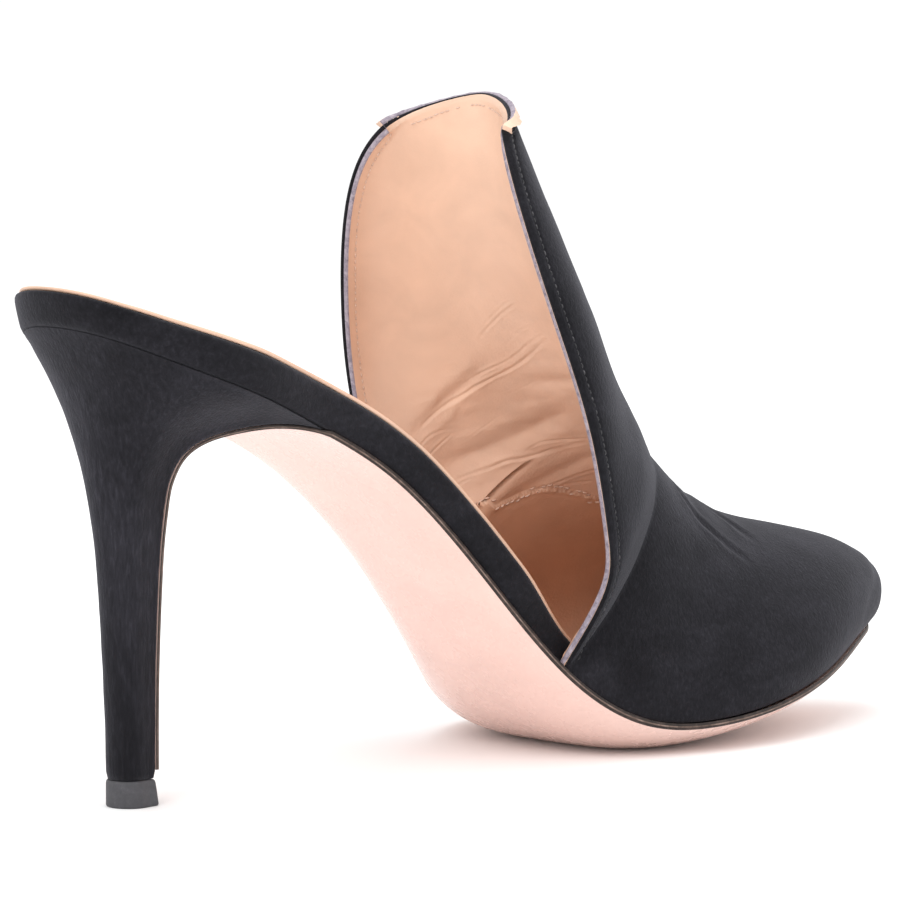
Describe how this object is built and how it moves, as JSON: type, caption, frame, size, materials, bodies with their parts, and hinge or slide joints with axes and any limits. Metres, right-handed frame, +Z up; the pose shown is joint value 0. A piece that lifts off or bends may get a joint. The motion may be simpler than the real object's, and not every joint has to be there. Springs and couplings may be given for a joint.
{
  "type": "high-heeled mule",
  "caption": "Backless pointed-toe mule with a tall rounded vamp, wrapped footbed and slim high heel; suede outside, leather lined.",
  "frame": {"origin": "middle of the bounding box in plan, on the floor plane", "axes": "+X from heel to toe, +Y to the inner side of the foot, +Z up"},
  "size_m": [0.216, 0.0756, 0.131],
  "materials": {
    "suede": "black suede, matt, with a fine nap",
    "lining": "nude smooth leather, satin",
    "sole_leather": "pink-nude sole leather, glossy face, dark painted edge",
    "rubber": "dark grey rubber, matt"
  },
  "bodies": {
    "root": {"upper": "suede", "insole": "suede", "heel": "suede", "sock": "lining", "outsole": "sole_leather", "top_piece": "rubber"}
  },
  "joints": []
}
